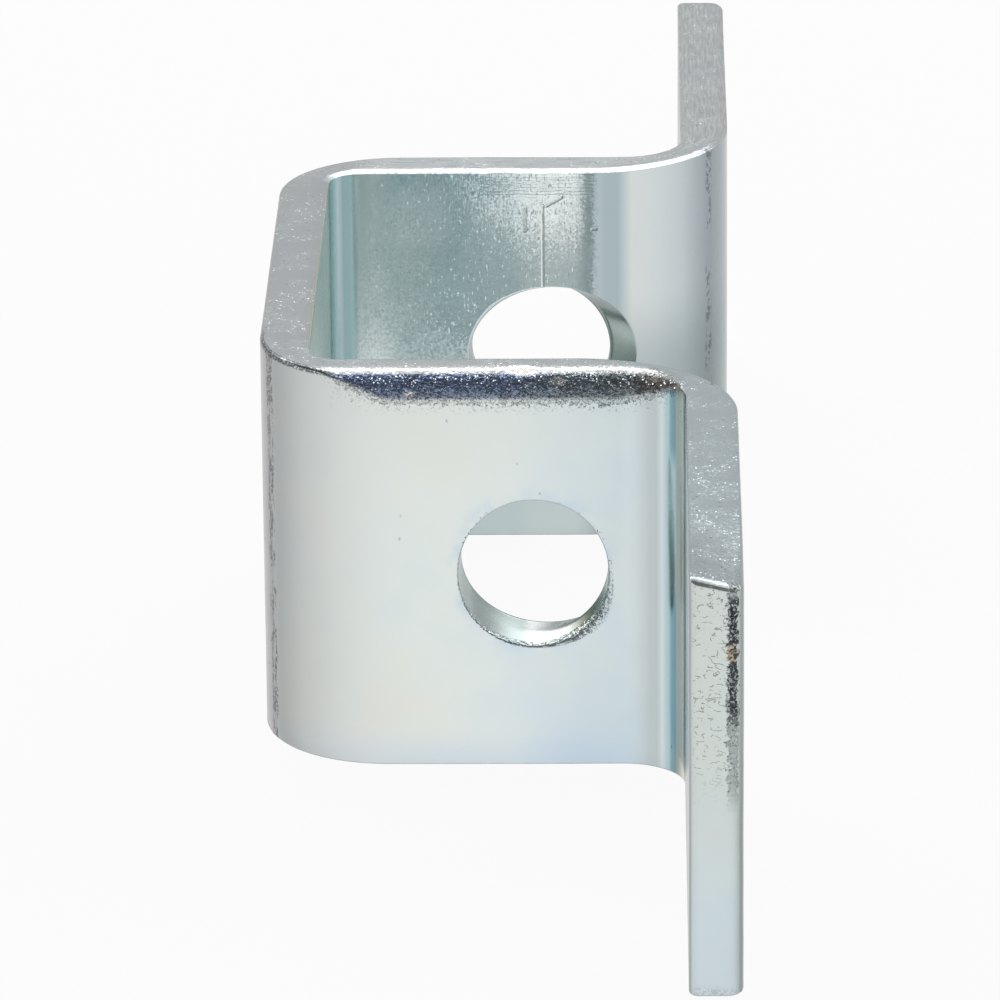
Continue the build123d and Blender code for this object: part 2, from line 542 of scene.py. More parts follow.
for level, upward in ((0, False), (len(levels) - 1, True)):
    columns = [outer_grid[:, level]]
    starts = np.array([skin.places[v] for v in outer_grid[:, level]])
    ends = np.array([skin.places[v] for v in inner_grid[:, level]])
    for share in ACROSS[1:-1]:
        deep = EDGE_ROUND + share * (BAR_THICKNESS - 2 * EDGE_ROUND)
        between = starts * (1 - share) + ends * share
        columns.append([
            skin.point(place, step, deep) for place, step in zip(between, along_bar)
        ])
    columns.append(inner_grid[:, level])
    strip = np.array(columns).T
    quilt(strip, upward)
    quilt(np.array([near_end_grid[:, level], strip[0]]), upward)
    quilt(np.array([far_end_grid[:, level], strip[-1]]), not upward)

places = np.array(skin.places)
along, depth = np.array(skin.bar).T
bore, lip = np.array(skin.marks).T


# -------- what the shear and the dies left


def smooth(edge_0, edge_1, value):
    """0 at edge_0, 1 at edge_1, and an even S between them."""
    share = np.clip((value - edge_0) / (edge_1 - edge_0), 0, 1)
    return share * share * (3 - 2 * share)


def ripple(points, size, seed=0.0, stretch=(1, 1, 1)):
    """Smooth noise from about -1 to 1 at each point; size is one ripple's length in mm."""
    scaled = points / size / np.array(stretch) + seed
    return np.array([noise.noise(Vector(p)) for p in scaled]) * 1.6


def roll_over():
    """Presses the near leg's upper outer edge onto the shear's roll-over, and marks it."""
    x, y, z = places.T
    ray = np.column_stack([x, y]) - np.array(flange_hollow)
    beyond = x > leg_end_x
    far_out = np.linalg.norm(ray, axis=1)
    turn = np.where(beyond, np.arctan2(ray[:, 0], ray[:, 1]), 0.0)
    inward = np.where(beyond, far_out - HOLLOW_FLANGE_BEND, y + HALF_WIDTH)
    lift = ROLL_LIFT * np.clip(turn / ROLL_TURN, 0, 1) ** 2
    core_in, core_up = ROLL_RADIUS - lift, BAR_WIDTH - ROLL_RADIUS + lift
    over_in, over_up = core_in - inward, z - core_up
    reach = np.hypot(over_in, over_up)
    runs = (turn < ROLL_TURN) & (inward < 4) & (y < 0)
    cut = runs & (over_in > 0) & (over_up > 0) & (reach > ROLL_RADIUS)
    squeeze = np.where(cut, ROLL_RADIUS / np.maximum(reach, 1e-6), 1.0)
    new_in, new_up = core_in - over_in * squeeze, core_up + over_up * squeeze
    moved_in = np.where(cut, new_in - inward, 0.0)
    into = np.where(beyond[:, None], ray / np.maximum(far_out, 1e-6)[:, None], (0.0, 1.0))
    places[:, 0] += into[:, 0] * moved_in
    places[:, 1] += into[:, 1] * moved_in
    places[:, 2] = np.where(cut, new_up, z)
    inside = np.clip(over_in, 0, ROLL_RADIUS)
    crest = core_up + np.sqrt(ROLL_RADIUS ** 2 - inside ** 2) + 2 * np.clip(-over_in, 0, None)
    ends = runs * smooth(ROLL_TURN, ROLL_TURN * 0.75, turn)
    return smooth(-0.3, 0.3, z - crest) * ends, crest - z, ends * smooth(2.2, 0.5, inward)


rolled, below_roll, beside_roll = roll_over()
fringe = beside_roll * smooth(1.8, -0.2, below_roll)


def sunk_edges():
    """How far the upper cut face sinks to the far leg's inner edge and to the near end."""
    x, y, z = places.T
    high_up = smooth(28, BAR_WIDTH, z)
    far_leg = smooth(20, 27, y)
    to_inner = np.clip((depth - (BAR_THICKNESS - INNER_SINK_WIDTH)) / INNER_SINK_WIDTH, 0, 1) ** 2
    to_end = np.clip((-y - (HALF_SPAN - END_SINK_WIDTH)) / END_SINK_WIDTH, 0, 1) ** 2
    return high_up * np.maximum(to_inner * far_leg * INNER_SINK, to_end * END_SINK)


def near_end_slant():
    """The near end's upper corner: low at the back and set back at the front, as it sheared."""
    x, y, z = places.T
    share = smooth(26, BAR_WIDTH, z)
    across = np.clip((x - FLANGE_X) / BAR_THICKNESS, 0, 1)
    sag = smooth(HALF_SPAN - NEAR_END_SAG_LENGTH, HALF_SPAN - EDGE_ROUND, -y)
    set_back = smooth(HALF_SPAN - NEAR_END_SET_BACK_LENGTH, HALF_SPAN - EDGE_ROUND, -y)
    places[:, 2] -= NEAR_END_SAG * across ** 1.2 * share * sag
    places[:, 1] += NEAR_END_SET_BACK * (1 - across) * share * set_back


places[:, 2] -= sunk_edges()
near_end_slant()

mesh = bpy.data.meshes.new("plated_bracket")
shell = bmesh.new()
corners = [shell.verts.new(place) for place in places]
for face in skin.faces:
    shell.faces.new([corners[c] for c in face])
bmesh.ops.recalc_face_normals(shell, faces=shell.faces)
shell.normal_update()
normals = np.array([corner.normal for corner in corners])

flatness = abs(normals[:, 2])
off_wall = 1 - smooth(0.0, 0.3, np.maximum(bore, lip))
cut_face = smooth(0.8, 0.97, flatness) * off_wall
cut_edge = smooth(0.12, 0.5, flatness) * (1 - cut_face) * off_wall
from_middle, end_facing = abs(places[:, 1]), abs(normals[:, 1])
flange_end = smooth(HALF_SPAN - 1.5, HALF_SPAN - 0.5, from_middle) * smooth(0.6, 0.95, end_facing)
back_corner = smooth(HALF_SPAN - 2.2, HALF_SPAN - 1.0, from_middle)
back_corner *= smooth(0.25, 0.6, normals[:, 0])


def unevenness(points, deep, size, seed):
    return deep * (1 + ripple(points, size, seed))


def wear(share, *kinds):
    """Adds unevenness where share is above nothing."""
    marked = np.flatnonzero(share > 0.01)
    for kind in kinds:
        inward[marked] += share[marked] * unevenness(places[marked], *kind)


inward = unevenness(places, *LONG_WAVES) + unevenness(places, *SHORT_WAVES)
wear(rolled, *PEEL)
wear(np.clip(cut_edge + back_corner, 0, 1), RAGGED_EDGE)
wear(flange_end, END_GRAIN)
wear(lip, TORN_RIM)
chip = np.zeros(len(places))
for centre, radii, deep in CHIPS:
    near_by = smooth(1.0, 0.45, np.linalg.norm((places - centre) / radii, axis=1))
    inward += near_by * deep
    chip = np.maximum(chip, near_by)
marked = np.flatnonzero(flange_end > 0.01)
across_end = ripple(places[marked], END_CRACK_SIZE, END_CRACK_SEED, (2.2, 1, 0.8))
inward[marked] += flange_end[marked] * END_CRACK_DEPTH * np.clip(1 - 4 * abs(across_end), 0, 1)

for corner, normal, amount in zip(corners, normals, inward):
    corner.co -= Vector(normal * amount)
    corner.co = Vector(np.clip(corner.co, low, high) * MM)
shell.normal_update()
shell.to_mesh(mesh)
shell.free()
mesh.shade_smooth()


def store(name, values, kind="FLOAT"):
    layer = mesh.attributes.new(name, kind, "POINT")
    key = "vector" if kind == "FLOAT_VECTOR" else "value"
    layer.data.foreach_set(key, np.ascontiguousarray(values, np.float32).ravel())


store("on_bar", np.column_stack([along, depth, places[:, 2]]), "FLOAT_VECTOR")
MASKS = ("rolled", "fringe", "chip", "cut_face", "cut_edge", "flange_end", "bore", "lip")
masks = (rolled, fringe, chip, cut_face, cut_edge, flange_end, bore, lip)
for name, share in zip(MASKS, masks):
    store(name, share)

plated = bpy.data.objects.new("plated_bracket", mesh)
scene.collection.objects.link(plated)
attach(plated, "root")
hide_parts("bracket")


# -------- finishes

# Sizes of the noises and crystals that the patterns on the metal are made from
CLOUD_SIZE, MOTTLE_SIZE, SPECKLE_SIZE, SQUIGGLE_SIZE = 15.0, 3.5, 0.55, 0.26
SOOT_SIZE, SPECK_SIZE, GLINT_SIZE, TIPPED_SIZE = 0.3, 0.22, 0.19, 0.21
FLOW_PITCH = 0.36

# The passivate's film in its clouds, on the outer face and inside
OUTER_FILM = (
    (0.34, "#E0E3DC"), (0.44, "#DFE5E1"), (0.52, "#DDE5E3"), (0.6, "#D9E3E5"), (0.68, "#D6E2E9"),
)
INNER_FILM = ((0.36, "#D6E2DF"), (0.5, "#D3E3E5"), (0.62, "#CFE2E8"))

# Tints across the web and the folds, at shares of their length.  They were matched from
# the camera's side and hold some of its light and shade as well as the film's colour.
WEB_TINTS = ((0.0, "#DEDCC2"), (0.8, "#DCDCC2"), (1.0, "#BCD6D6"))
HOLLOW_TINTS = (
    (0.0, "#CDD7DA"), (0.11, "#C9D2D4"), (0.28, "#C2CCCD"), (0.37, "#C6D0D2"), (0.44, "#E0EBF0"),
    (0.50, "#CBE1E6"), (0.56, "#BEE6EB"), (0.63, "#AECBD3"), (0.71, "#C2C8BF"), (0.83, "#F4F0E4"),
    (0.92, "#DADDD5"), (1.0, "#C2C9C9"),
)
ROUND_TINTS = (
    (0.0, "#DFE9EB"), (0.12, "#EFF5F5"), (0.40, "#F2F8F8"), (0.445, "#E2EAEA"), (0.475, "#B8C6C9"),
    (0.50, "#A9B8BC"), (0.53, "#A9B8BC"), (0.565, "#D6DCDA"), (0.635, "#D8DFE1"), (0.71, "#D4DFE3"),
    (0.815, "#BFCBD0"), (0.88, "#B1BCBF"), (1.0, "#B8C2C0"),
)
FOLD_TINTS = (
    (0.0, "#F4FAF0"), (0.08, "#F2FAF4"), (0.15, "#DCEDE8"), (0.23, "#B2D2D4"), (0.31, "#B0CDD0"),
    (0.37, "#CAD8DD"), (0.44, "#AFC8CC"), (0.50, "#94B0B3"), (0.62, "#91AEB0"), (0.72, "#A9C2C4"),
    (0.80, "#DDE9EA"), (0.88, "#EDF5F5"), (1.0, "#E2EEEE"),
)
# The roll-over's tints across the bar: the film's blue and brown, with painted dark reflection
# deepening towards the flange
ROLL_OVER_TINTS = (
    (0.0, "#8C9FC8"), (0.5, "#8FA1C4"), (0.62, "#93A4B4"), (0.84, "#919CA2"), (0.90, "#77736D"),
    (0.95, "#57534C"), (1.0, "#57534C"),
)
END_TINTS = ((0.0, "#BCD0DE"), (0.35, "#C6D4D8"), (1.0, "#C9D0CB"))


def paint(code):
    """An sRGB hex colour as linear RGBA."""
    channels = [int(code[n:n + 2], 16) / 255 for n in (1, 3, 5)]
    return [c / 12.92 if c <= 0.04045 else ((c + 0.055) / 1.055) ** 2.4 for c in channels] + [1]


def add(tree, kind, inputs=None, **settings):
    """Adds a node; each input is a value or the socket that feeds it."""
    made = tree.nodes.new("ShaderNode" + kind)
    for name, value in settings.items():
        setattr(made, name, value)
    for name, value in (inputs or {}).items():
        socket = made.inputs[name]
        if isinstance(value, bpy.types.NodeSocket):
            tree.links.new(value, socket)
        else:
            socket.default_value = value
    return made


def cleared(block):
    """Clears the nodes of a material or world and returns the function that adds to them."""
    block.use_nodes = True
    block.node_tree.nodes.clear()
    return partial(add, block.node_tree)


def set_ramp(ramp, stops):
    """Gives a colour ramp its stops, as (position, linear RGBA); returns its colour socket."""
    elements = ramp.color_ramp.elements
    while len(elements) > 1:
        elements.remove(elements[-1])
    for number, (position, colour) in enumerate(stops):
        stop = elements[0] if number == 0 else elements.new(position)
        stop.position, stop.color = position, colour
    return ramp.outputs["Color"]


def zinc_plate():
    """Bright zinc plate with a clear blue passivate, barrel plated over folded steel.

    The passivate is a film thin enough to tint: cream where it is thinnest, then blue
    and green.  Under it the flats keep the mill's haze and the dies' rub marks, the
    rolled edges an orange peel, and the sheared faces a grain that glitters.
    All coordinates and sizes in this material are millimetres.
    """
    material = bpy.data.materials.new("zinc_plate")
    node = cleared(material)
    metres = node("TexCoord").outputs["Object"]
    where = node("VectorMath", {"Vector": metres, "Scale": 1 / MM},
                 operation="SCALE").outputs["Vector"]
    on_bar = node("Attribute", attribute_name="on_bar").outputs["Vector"]
    x, y, z = node("SeparateXYZ", {"Vector": where}).outputs
    along, deep, up = node("SeparateXYZ", {"Vector": on_bar}).outputs

    rolled, fringe, chip, cut_face, cut_edge, flange_end, bore, lip = (
        node("Attribute", attribute_name=name).outputs["Fac"] for name in MASKS
    )

    def chain(operation):
        """A function that joins values with this operation, from the left."""
        return lambda *values: reduce(lambda first, second: node(
            "Math", {0: first, 1: second}, operation=operation).outputs[0], values)

    times, plus, minus = chain("MULTIPLY"), chain("ADD"), chain("SUBTRACT")
    most, least = chain("MAXIMUM"), chain("MINIMUM")

    def span(value, start, end, low_end=0.0, high_end=1.0, ease="SMOOTHSTEP"):
        """Goes from low_end to high_end as value goes from start to end."""
        return node("MapRange", {
            "Value": value, "From Min": start, "From Max": end,
            "To Min": low_end, "To Max": high_end,
        }, interpolation_type=ease).outputs["Result"]

    def band(value, centre, half, soft):
        """1 within half of centre, easing to 0 over soft."""
        off = node("Math", {0: minus(value, centre)}, operation="ABSOLUTE").outputs[0]
        return span(off, half + soft, half)

    def grain(size, detail=2.0, vector=where, distortion=0.0):
        return node("TexNoise", {
            "Vector": vector, "Scale": 1 / size, "Detail": detail, "Distortion": distortion,
        }).outputs["Fac"]

    def stretched(by_along, by_deep, by_up):
        """Coordinates on the bar, each drawn out this many times."""
        lengths = (1 / by_along, 1 / by_deep, 1 / by_up)
        return node("VectorMath", {0: on_bar, 1: lengths}, operation="MULTIPLY").outputs[0]

    def crystals(size, share):
        """Random crystals of this size that catch the light; share of them do."""
        cells = node("TexVoronoi", {"Vector": where, "Scale": 1 / size})
        pick = node("SeparateXYZ", {"Vector": cells.outputs["Color"]}).outputs["X"]
        return times(span(pick, 1 - share, 1 - share * 0.6),
                     span(cells.outputs["Distance"], 0.55, 0.25))

    def coats(colour, *layers):
        """Lays tints over a colour: each layer is an sRGB code or a socket, and its shares."""
        for tint, *shares in layers:
            tint = paint(tint) if isinstance(tint, str) else tint
            colour = node("Mix", {"Factor": times(*shares), 6: colour, 7: tint},
                          data_type="RGBA").outputs[2]
        return colour

    def tints(share, stops):
        """The tint at this share of a scale, from stops as (share, sRGB code)."""
        return set_ramp(node("ValToRGB", {"Fac": share}),
                        [(position, paint(code)) for position, code in stops])

    def tipped(size, tilt):
        """Tips every crystal of this size its own way; tilt is how far."""
        cells = node("TexVoronoi", {"Vector": where, "Scale": 1 / size})
        own_way = node("VectorMath", {0: cells.outputs["Color"], 1: (0.5, 0.5, 0.5)},
                       operation="SUBTRACT").outputs[0]
        return node("VectorMath", {0: own_way, "Scale": tilt}, operation="SCALE").outputs[0]

    inner = span(deep, 3.6, 4.7)
    inner_flat = times(inner, span(bore, 0.35, 0.1), span(cut_face, 0.5, 0.1))
    outer = times(span(deep, 1.0, 0.3), span(cut_face, 0.6, 0.2))
    near, far = span(y, 1, -1), span(y, -1, 1)
    from_web = node("Math", {0: minus(along, half_length)}, operation="ABSOLUTE").outputs[0]
    leg_x = minus(from_web, LEG_AT)
    clouds = grain(CLOUD_SIZE)
    mottle = grain(MOTTLE_SIZE, 3.0)
    speckle = grain(SPECKLE_SIZE)
    squiggle = grain(SQUIGGLE_SIZE, distortion=0.6)

    # the film on the outer face, in patches of 10 to 20 mm with finer clouds in them;
    # bluer at the foot, towards the flange and in a halo round the near pin hole
    film = plus(times(clouds, 0.8), times(mottle, 0.2))
    from_pin = node("CombineXYZ", {
        "X": minus(along, pin_along), "Y": minus(up, MID_HEIGHT),
    }).outputs[0]
    from_pin = node("VectorMath", {0: from_pin}, operation="LENGTH").outputs["Value"]
    from_rim = minus(from_pin, PIN_RADIUS)
    halo = times(span(from_rim, 1.8, 0.5), outer, near, span(mottle, 0.38, 0.6))
    blued = plus(
        times(span(up, 4.5, 0.5), 0.45),
        times(span(up, 13, 1), span(leg_x, 11, 20), 0.6),
        times(halo, 0.45),
    )
    # painted shade: the web's outer face and the part of its bend next to it, turned from the
    # light, are painted a darker lilac grey
    side = times(outer, span(from_web, WEB_SIDE + 0.7, WEB_SIDE - 0.2))
    colour = coats(
        tints(film, OUTER_FILM),
        ("#C0D2E4", least(blued, 1.0), outer),
        ("#D3DBDC", outer, span(up, 26, 40), 0.4),
        ("#CFCFCC", outer, span(leg_x, 4, -9), 0.6),
        # painted shade: darker towards the flange's hollow bend
        ("#C6D4D8", outer, span(leg_x, 10, 24), 0.55),
        ("#BAB8BB", side, 0.85),
    )

    # the hollow of the flange's bend, with a painted reflection line where it mirrors the leg:
    # painted darker, but paler at the height of the pin hole's image, to soften that
    hollow = times(outer, span(from_web, FLANGE_BEND_AT + 0.4, FLANGE_BEND_AT + 3.2))
    across_hollow = span(from_web, FLANGE_BEND_AT, FLANGE_AT, ease="LINEAR")
    bend_reflection = times(hollow, near, band(from_web, FLANGE_BEND_AT + 5.7, 0.3, 0.4))
    hole_image = band(up, 25.3, 5.0, 3.5)
    colour = coats(
        colour,
        (tints(across_hollow, HOLLOW_TINTS), hollow),
        ("#86A9B2", bend_reflection, minus(1.0, hole_image), 0.6),
        ("#F4FBFC", bend_reflection, hole_image, 0.5),
    )

    # the inside: a thicker, teal film, olive across the web
    across_web = span(from_web, 0, WEB_BEND_AT, ease="LINEAR")
    on_web = span(from_web, WEB_BEND_AT + 1.5, WEB_BEND_AT - 0.5)
    across_round = span(from_web, FLANGE_BEND_AT - 7.4, FLANGE_AT, ease="LINEAR")
    on_round = span(from_web, FLANGE_BEND_AT - 9, FLANGE_BEND_AT - 4)
    on_leg = times(span(leg_x, 23, 16), span(up, 21, 26))
    fine = plus(times(speckle, 0.35), times(squiggle, 0.65))
    teal = coats(
        tints(film, INNER_FILM),
        ("#EAF1F2", span(leg_x, 8, 15), 0.5),
        (tints(across_web, WEB_TINTS), on_web),
        (tints(across_round, ROUND_TINTS), on_round),
        # painted shade: darker low down inside the U
        ("#A4B3B4", span(up, 27, 17), 0.72),
        ("#F2F8F8", on_leg, span(fine, 0.53, 0.62), 0.30),
        ("#9AB4B6", on_leg, span(fine, 0.47, 0.39), 0.22),
        # a painted highlight high on the far leg's inner face, near its web end
        ("#F6FAFA", on_leg, band(leg_x, 4.5, 3.0, 2.5), band(up, 35.0, 2.2, 2.0), far, 0.5),
    )
    fold = times(inner, span(from_web, WEB_BEND_AT - 0.6, WEB_BEND_AT + 0.4),
                 span(from_web, LEG_AT + 5, LEG_AT + 1))
    across_fold = span(from_web, WEB_BEND_AT, LEG_AT + 4, ease="LINEAR")
    # the near pin hole's lower wall, painted pale as a highlight where it faces up to the light
    bore_foot_highlight = times(bore, near, span(plus(x, times(squiggle, 0.8)), 2.6, 4.0),
                      span(up, 15.5, 14.0))
    colour = coats(
        colour,
        (teal, inner),
        (tints(across_fold, FOLD_TINTS), fold),
        ("#AEBDBB", bore, 0.85),
        ("#EFF5F4", bore_foot_highlight),
    )

    # the sheared faces: grey, with crystals of 0.2 to 0.3 mm that catch the light in
    # clusters, painted white as glints, and streaks across the web and the far leg
    streaks = grain(1.0, 3.0, stretched(3.2, 0.24, 1.0))
    far_cut = times(cut_face, far, span(from_web, WEB_BEND_AT + 2, LEG_AT + 2))
    near_tip = span(y, -74, -86)
    near_flange = times(cut_face, near, span(from_web, FLANGE_BEND_AT - 2, FLANGE_BEND_AT + 4))
    leg_middle, leg_half = (LEG_AT + FLANGE_BEND_AT) / 2, (FLANGE_BEND_AT - LEG_AT) / 2
    far_leg = times(cut_face, far, band(from_web, leg_middle, leg_half, 5.0))
    soot = times(crystals(SOOT_SIZE, 0.025), cut_face)
    speck = times(crystals(SPECK_SIZE, 0.2), span(speckle, 0.38, 0.54),
                  span(mottle, 0.40, 0.52), cut_face)
    colour = coats(
        colour,
        ("#CDD3D6", cut_face, 0.9),
        ("#C0C5C8", cut_face, span(from_web, LEG_AT, WEB_BEND_AT), 0.6),
        ("#BDCCD0", near_flange, 0.9),
        ("#E4EBEE", far_leg, 0.9),
        ("#F2F4F5", far_cut, span(streaks, 0.50, 0.62), 0.5),
        ("#A5ABAE", far_cut, span(streaks, 0.48, 0.38), 0.3),
        ("#A6ACB0", cut_face, near_tip, 0.5),
        ("#6E7678", soot, 0.6),
        ("#FFFFFF", speck, 0.6),
    )

    # the roll-over: a lip painted near white as a highlight, then a peel in the film's blue
    # that turns brown towards the flange, painted dark as a reflection, darkest at the flange
    # and at its foot; glints painted white in it, and broken dark marks on the flat below
    lip_end = span(plus(up, times(minus(squiggle, 0.5), 0.25)), BAR_WIDTH - 0.16, BAR_WIDTH - 0.34)
    dark_side = times(rolled, most(span(x, 14.2, 15.4), lip_end))
    peel_share = most(dark_side, span(plus(fringe, times(squiggle, 0.9)), 1.0, 1.25))
    glint = times(crystals(GLINT_SIZE, 0.34), span(speckle, 0.43, 0.52),
                  least(plus(dark_side, times(lip, 0.6)), 1.0))
    strays = times(near, outer, band(up, 37.0, 0.4, 0.9), span(squiggle, 0.63, 0.69),
                   span(from_web, LEG_AT - 8, LEG_AT - 3), 0.4)
    colour = coats(
        colour,
        ("#F6F3EE", rolled, 0.7),
        (tints(span(x, -16, 18, ease="LINEAR"), ROLL_OVER_TINTS), dark_side),
        ("#666C74", dark_side, span(up, 38.7, 37.7), 0.7),
        ("#FFFFFF", glint),
        ("#6C757B", fringe, span(squiggle, 0.50, 0.60), 0.65),
        ("#747D82", strays),
        ("#F4F2EE", chip, 0.8),
    )

    # scuffs where the dies' edges pressed: broken bands of dark specks up the bends and
    # along the upper edge
    wobble = times(minus(mottle, 0.5), 0.8)
    broken = span(plus(grain(1.1, 3.0, stretched(0.6, 1, 2.4)), span(up, 28, 38, 0.0, 0.10)),
                  0.44, 0.56)
    bend_scuff = times(outer, broken, span(fine, 0.45, 0.51),
                       band(plus(from_web, wobble), WEB_SIDE, 0.5, 0.5))
    flange_scuff = times(inner, broken, span(speckle, 0.44, 0.54),
                         band(plus(from_web, times(wobble, 0.35)), FLANGE_SIDE, 0.06, 0.3))
    scuff = most(bend_scuff, times(flange_scuff, 0.75))
    edge_scuff = times(band(deep, 0.0, 0.2, 0.2), band(up, BAR_WIDTH - 0.2, 0.25, 0.2),
                       span(from_web, LEG_AT - 3.5, LEG_AT - 6), span(y, -20, -25))

    # nicks from the tumbling barrel: short dashes on the flats
    nick_cells = node("TexVoronoi", {"Vector": stretched(2.2, 5, 3.4), "Scale": 1.0})
    nick_pick = node("SeparateXYZ", {"Vector": nick_cells.outputs["Color"]}).outputs["X"]
    nick = times(span(nick_cells.outputs["Distance"], 0.08, 0.035),
                 span(nick_pick, 0.48, 0.6), span(cut_face, 0.5, 0.1))

    # the tool's witness lines inside the far leg, flow lines above them, a torn patch
    # and scratches
    groove = times(band(x, 3.8, 0.04, 0.16), band(z, 31.5, 4.5, 0.4))
    bent_x = plus(x, times(minus(speckle, 0.5), 0.5))
    twin = times(band(bent_x, 1.9, 0.16, 0.14), band(z, 34.7, 1.2, 0.3), 0.8)
    slant = plus(z, times(bent_x, -0.55))
    nick_line = times(band(slant, 36.6 - 0.55 * 4.9, 0.08, 0.18), band(x, 5.0, 0.7, 0.3))
    small_nick = times(band(z, 33.6, 0.06, 0.14), band(x, 9.1, 0.2, 0.2), 0.8)
    tool_cut = times(most(most(groove, twin), most(nick_line, small_nick)), inner, far)
    flow = times(band(z, 38.3, 0.8, 0.6), band(x, 3.0, 5.0, 2.5), inner, far)
    flow_lines = plus(times(z, 2 * math.pi / FLOW_PITCH), times(mottle, 14.0))
    flow_lines = node("Math", {0: flow_lines}, operation="SINE").outputs[0]
    torn_patch = times(inner_flat, far, span(mottle, 0.5, 0.62), span(up, 24, 30),
                       span(leg_x, 22, 14))
    scratch_field = grain(0.5, 2.0, stretched(0.4, 1, 2.0))
    scratches = times(inner_flat, span(up, 20, 25), span(scratch_field, 0.58, 0.66),
                      span(clouds, 0.40, 0.55, 0.5, 1.0), band(leg_x, 9, 10.5, 4),
                      span(from_web, LEG_AT, LEG_AT + 2))
    colour = coats(
        colour,
        ("#6A7276", scuff, 0.85),
        ("#586064", edge_scuff, span(squiggle, 0.38, 0.48), 0.85),
        ("#8C979B", nick, 0.3),
        ("#7F959C", tool_cut, 0.3),
        ("#EDF5F8", scratches, 0.4),
    )

    # the flange's end: short cracks across it, and the torn back corner, black above with
    # an ochre spot and grey below
    near_end = times(flange_end, near)
    crack_field = grain(0.8, 2.0, node("VectorMath", {0: where, 1: (0.7, 1.0, 1.3)},
                                       operation="MULTIPLY").outputs[0])
    crack = times(band(crack_field, 0.5, 0.008, 0.014), span(speckle, 0.50, 0.56),
                  times(near_end, span(z, 16, 30)))
    ragged_x = plus(x, times(minus(speckle, 0.5), 1.1), times(minus(squiggle, 0.5), 0.6))
    torn_down_to = plus(z, times(mottle, 3))
    strip = times(near, span(y, 1.75 - HALF_SPAN, 1.45 - HALF_SPAN),
                  band(ragged_x, MOUNTING_X - 1.05, 0.34, 0.2), span(torn_down_to, 19, 23))
    black = times(strip, span(torn_down_to, 26.5, 29.5), span(z, 38.9, 37.9))
    ochre = times(strip, band(z, 33.0, 0.5, 0.6), span(squiggle, 0.42, 0.52))
    bottom_scuff = times(near_end, span(plus(z, times(mottle, 2.4)), 2.6, 1.2),
                         span(squiggle, 0.46, 0.54))
    colour = coats(
        colour,
        (tints(span(z, 2, 26), END_TINTS), near_end, 0.6),
        ("#858D8A", crack, 0.6),
        ("#A2AAAC", strip, 0.7),
        ("#3C4046", black, span(squiggle, 0.62, 0.52), 0.96),
        ("#C8B596", ochre, 0.8),
        ("#848C8F", bottom_scuff, 0.5),
    )

    rough = plus(span(mottle, 0.3, 0.7, 0.15, 0.19), times(inner, -0.02), times(cut_face, 0.08),
                 times(flange_end, 0.08), times(dark_side, -0.04), times(fold, 0.08),
                 times(bore, 0.10))

    # heights: the mill's haze, rub marks up the bar, the sheared grain, the peel and the tears
    torn_rim = times(lip, span(up, 24, 15, 0.25, 1.0))
    height = plus(
        times(grain(0.45), plus(0.002, times(torn_patch, 0.006))),
        times(scratch_field, inner_flat, 0.006),
        times(speckle, plus(times(cut_face, 0.02), times(flange_end, 0.03))),
        times(streaks, far_cut, 0.012),
        times(squiggle, most(peel_share, torn_rim), 0.09),
        times(plus(crack, nick), -0.03),
        times(scuff, -0.03),
        times(tool_cut, -0.045),
        times(flow, flow_lines, 0.003),
        times(most(strip, times(cut_edge, 0.5)), squiggle, 0.06),
    )
    bump = node("Bump", {"Height": height, "Strength": 1.0, "Distance": MM})

    # crystals big enough to glitter, each tipped its own way, and some towards the light
    clusters = times(span(mottle, 0.46, 0.62), cut_face, minus(1.0, near_tip))
    tilt = plus(
        times(cut_face, 0.09), times(clusters, 0.08), times(dark_side, 0.32),
        times(fringe, 0.10), times(inner_flat, 0.03), times(torn_rim, 0.5), times(strip, 0.5),
        times(near_end, 0.08), times(scratches, 0.25),
    )
    toward_light = node("CombineXYZ", {"Y": times(speck, -0.14), "Z": times(glint, 1.3)})
    glitter = bump.outputs["Normal"]
    for lean in (tipped(TIPPED_SIZE, tilt), toward_light.outputs[0]):
        glitter = node("VectorMath", {0: glitter, 1: lean}, operation="ADD").outputs[0]
    glitter = node("VectorMath", {0: glitter}, operation="NORMALIZE").outputs[0]
    surface = node("BsdfPrincipled", {
        "Base Color": colour, "Metallic": 1.0, "Roughness": rough, "Normal": glitter,
    })
    node("OutputMaterial", {"Surface": surface.outputs["BSDF"]})
    return material


mesh.materials.append(zinc_plate())


# -------- studio

PAPER, GLOW = paint("#EDEDED"), paint("#FFFFFF")
SHOWN_WHITE = 0.94  # how white the floor is shown; the rest takes the soft shadow
FLOOR_HALF, FLOOR_DROP = 3.0, 0.0001

# Grey brightness of the table from the rear (0) to the front (1), and of the room from
# the front horizon (0) over the top (0.5) to the rear horizon (1)
TABLE_LIGHT = (
    (0.0, 0.80), (0.12, 0.74), (0.24, 0.57), (0.38, 0.66), (0.52, 0.78), (0.66, 0.86),
    (0.80, 0.94), (0.97, 1.0),
)
ROOM_LIGHT = (
    (0.0, 0.75), (0.06, 0.42), (0.12, 0.18), (0.38, 0.15), (0.54, 0.18), (0.59, 0.85),
    (0.76, 0.97), (0.85, 0.56), (1.0, 0.54),
)


def greys(stops):
    return [(position, (value, value, value, 1)) for position, value in stops]


